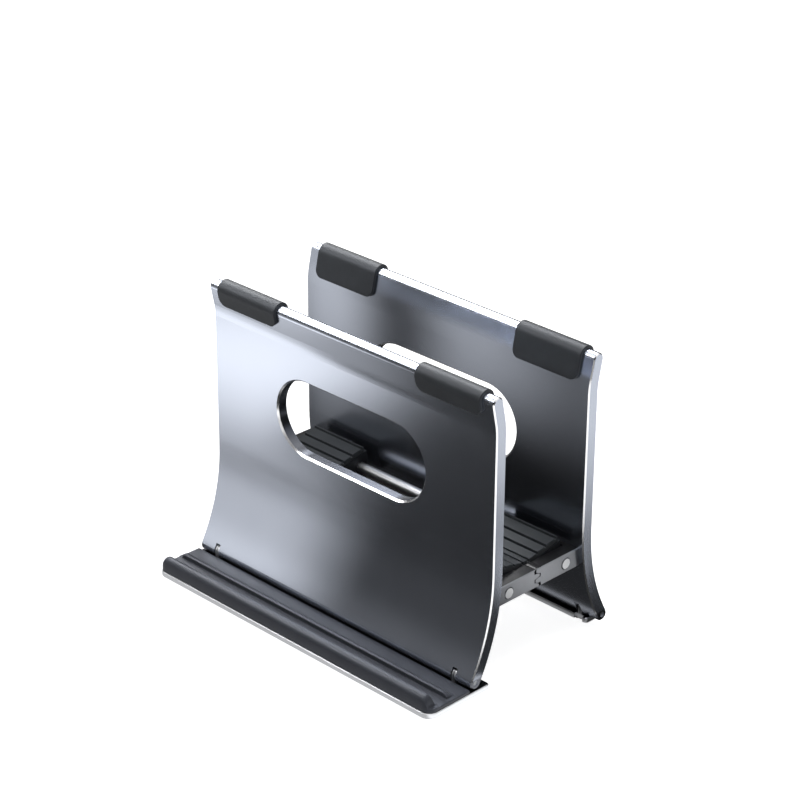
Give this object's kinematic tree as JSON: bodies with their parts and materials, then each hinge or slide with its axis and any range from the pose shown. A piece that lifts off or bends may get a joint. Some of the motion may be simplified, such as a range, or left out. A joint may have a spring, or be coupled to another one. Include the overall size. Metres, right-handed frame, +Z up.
{
  "type": "vertical laptop stand",
  "caption": "Upright laptop stand with flared slotted metal plates on geared arms that tilt in to grip a closed laptop, and a grooved front ledge for a phone.",
  "frame": {"origin": "middle of the bounding box, on the desk", "axes": "+X along the plates, +Y from the ledge side to the rear, +Z up"},
  "size_m": [0.1614, 0.1084, 0.1278],
  "materials": {
    "aluminium": "satin anodised",
    "dark_metal": "satin",
    "steel": "polished",
    "rubber": "matt",
    "seat_rubber": "matt",
    "plastic": "matt"
  },
  "bodies": {
    "seat": {"carrier_left": "plastic", "carrier_right": "plastic", "seat_pad_left": "seat_rubber", "seat_pad_right": "seat_rubber", "shaft_front": "steel", "shaft_rear": "steel"},
    "front_clamp": {"front_plate": "aluminium", "hinge_pins_front": "steel", "edge_pad_front_left": "rubber", "arm_front_left": "dark_metal", "edge_pad_front_right": "rubber", "arm_front_right": "dark_metal"},
    "rear_clamp": {"rear_plate": "aluminium", "hinge_pins_rear": "steel", "edge_pad_rear_left": "rubber", "arm_rear_left": "dark_metal", "edge_pad_rear_right": "rubber", "arm_rear_right": "dark_metal"},
    "ledge": {"ledge_plate": "aluminium", "ledge_tray": "rubber", "ledge_strip_front": "rubber", "ledge_strip_hinge": "rubber"},
    "rear_stand": {"rear_foot": "aluminium", "rear_foot_strip": "rubber"}
  },
  "joints": [
    {"name": "front_swing", "type": "hinge", "parent": "seat", "child": "front_clamp", "pos_m": [0, -0.00655, 0.03679], "axis": [-1, 0, 0], "range_deg": [0, 12], "stiffness_Nm_per_rad": 0.15, "springref_deg": -34.38},
    {"name": "rear_swing", "type": "hinge", "parent": "seat", "child": "rear_clamp", "pos_m": [0, 0.02695, 0.03679], "axis": [-1, 0, 0], "range_deg": [-12, 0], "stiffness_Nm_per_rad": 0.15, "springref_deg": 34.38},
    {"name": "ledge_fold", "type": "hinge", "parent": "front_clamp", "child": "ledge", "pos_m": [0, -0.02747, 0.00575], "axis": [-1, 0, 0], "range_deg": [-13, 88]},
    {"name": "rear_foot_tilt", "type": "hinge", "parent": "rear_clamp", "child": "rear_stand", "pos_m": [0, 0.04787, 0.00575], "axis": [1, 0, 0], "range_deg": [-14, 14]}
  ],
  "couplings": [
    {"joint": "rear_swing", "follows": "front_swing", "ratio": -1}
  ]
}
